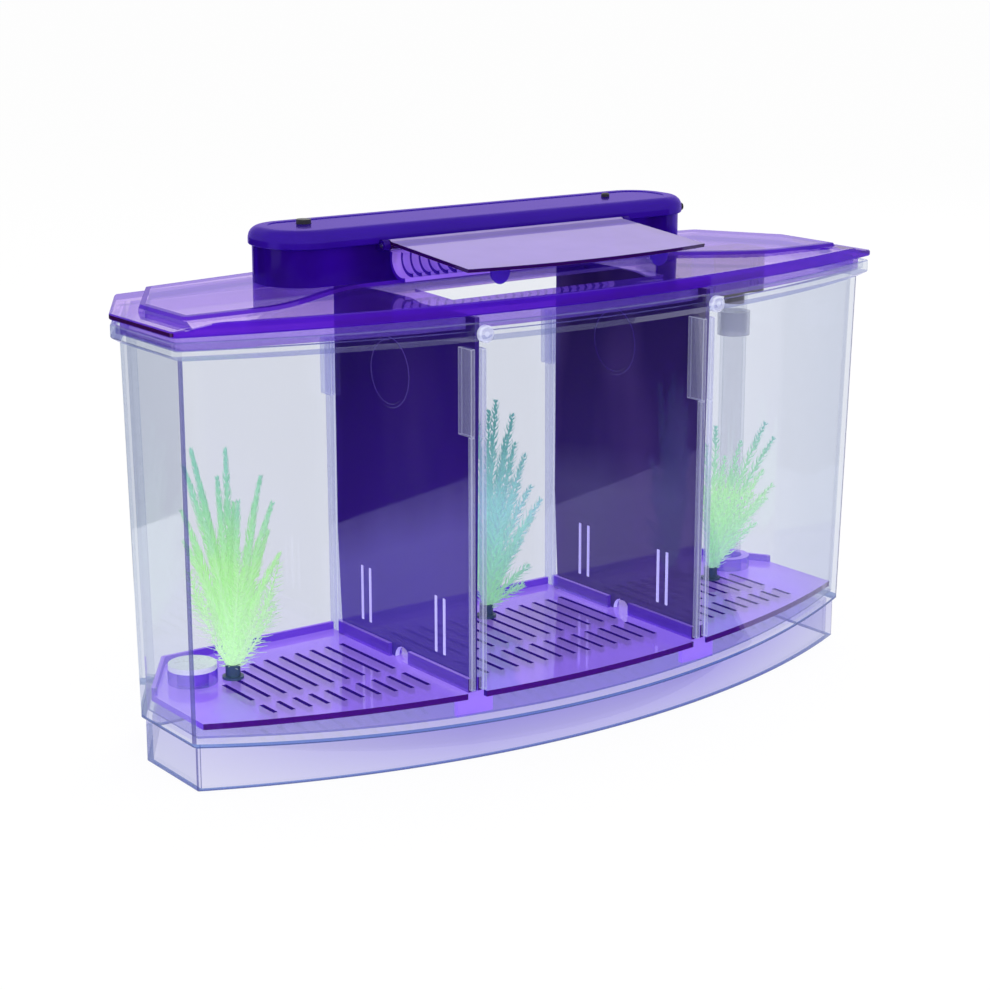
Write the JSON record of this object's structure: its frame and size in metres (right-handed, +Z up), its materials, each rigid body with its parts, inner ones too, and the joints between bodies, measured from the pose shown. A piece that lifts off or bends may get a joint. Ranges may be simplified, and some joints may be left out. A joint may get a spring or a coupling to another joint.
{
  "type": "fish breeding box",
  "caption": "Bow-front clear tank with slotted floor plate, two dark partitions, plants, and a purple lid with a feeding flap, light, filter and pump.",
  "frame": {"origin": "bottom centre of the whole box, on the table", "axes": "+X along the width to the viewer's right, -Y to the bowed front, +Z up"},
  "size_m": [0.29, 0.107, 0.1712],
  "materials": {
    "clear_styrene": "clear gloss",
    "plate_lilac": "translucent satin",
    "plug_white": "gloss",
    "partition_indigo": "dark gloss",
    "lid_purple": "transparent gloss",
    "flap_lilac": "transparent gloss",
    "housing_indigo": "dark gloss",
    "cap_indigo": "dark gloss",
    "steel": "plain",
    "black_plastic": "satin",
    "black_rubber": "matt",
    "board_green": "solder mask",
    "board_white": "solder mask",
    "led_phosphor": "gel",
    "clear_cover": "clear gloss",
    "sponge_black": "open-cell foam",
    "impeller_white": "satin",
    "collar_grey": "gloss",
    "cup_dark": "satin",
    "leaf_lime": "soft gloss",
    "leaf_teal": "soft gloss",
    "leaf_green": "soft gloss"
  },
  "bodies": {
    "tank": {"tank": "clear_styrene"},
    "lid": {"lid": "lid_purple", "flap_hinge_pin": "steel", "outlet_chute": "lid_purple", "housing_body": "housing_indigo", "housing_cap": "cap_indigo", "cap_screws": "steel", "button_spring": "steel", "indicator_lens": "black_plastic", "power_inlet": "black_rubber", "control_board": "board_green", "button_switch": "black_plastic", "led_board": "board_white", "led_chips": "led_phosphor", "led_cover": "clear_cover", "filter_sponge": "sponge_black", "pump_bracket": "lid_purple", "pump_body": "black_plastic", "pump_cover": "black_plastic", "impeller_shaft": "steel", "pump_outlet": "clear_cover", "tube_collar": "collar_grey", "uplift_tube": "clear_styrene"},
    "flap": {"feeding_flap": "flap_lilac"},
    "button": {"power_button": "black_plastic"},
    "impeller": {"impeller": "impeller_white"},
    "partition_left": {"partition_left": "partition_indigo"},
    "partition_right": {"partition_right": "partition_indigo"},
    "plate": {"floor_plate": "plate_lilac", "plant_cup_left": "cup_dark", "plant_cup_middle": "cup_dark", "plant_cup_right": "cup_dark", "plant_left": "leaf_lime", "plant_middle": "leaf_teal", "plant_right": "leaf_green"},
    "plug": {"socket_plug": "plug_white"}
  },
  "joints": [
    {"name": "lid_lift", "type": "slide", "parent": "tank", "child": "lid", "axis": [0, 0, 1], "range_m": [0, 0.15]},
    {"name": "flap_hinge", "type": "hinge", "parent": "lid", "child": "flap", "pos_m": [0, 0.0022, 0.1638], "axis": [-1, 0, 0], "range_deg": [-12.5, 105]},
    {"name": "button_press", "type": "slide", "parent": "lid", "child": "button", "axis": [0, 0, -1], "range_m": [0, 0.0006], "stiffness_N_per_m": 400, "springref_m": -0.001, "deforming": ["button_spring"]},
    {"name": "impeller_spin", "type": "hinge", "parent": "lid", "child": "impeller", "pos_m": [0.1075, 0.017, 0.1395], "axis": [0, 1, 0], "continuous": true},
    {"name": "partition_left_slide", "type": "slide", "parent": "tank", "child": "partition_left", "axis": [0, 0, 1], "range_m": [0, 0.09]},
    {"name": "partition_right_slide", "type": "slide", "parent": "tank", "child": "partition_right", "axis": [0, 0, 1], "range_m": [0, 0.09]},
    {"name": "plate_lift", "type": "slide", "parent": "tank", "child": "plate", "axis": [0, 0, 1], "range_m": [0, 0.045]},
    {"name": "plug_pull", "type": "slide", "parent": "plate", "child": "plug", "axis": [0, 0, 1], "range_m": [0, 0.012]}
  ],
  "couplings": [
    {"joint": "partition_left_slide", "follows": "lid_lift", "ratio": 0.6},
    {"joint": "partition_right_slide", "follows": "lid_lift", "ratio": 0.6},
    {"joint": "plate_lift", "follows": "lid_lift", "ratio": 0.3}
  ]
}
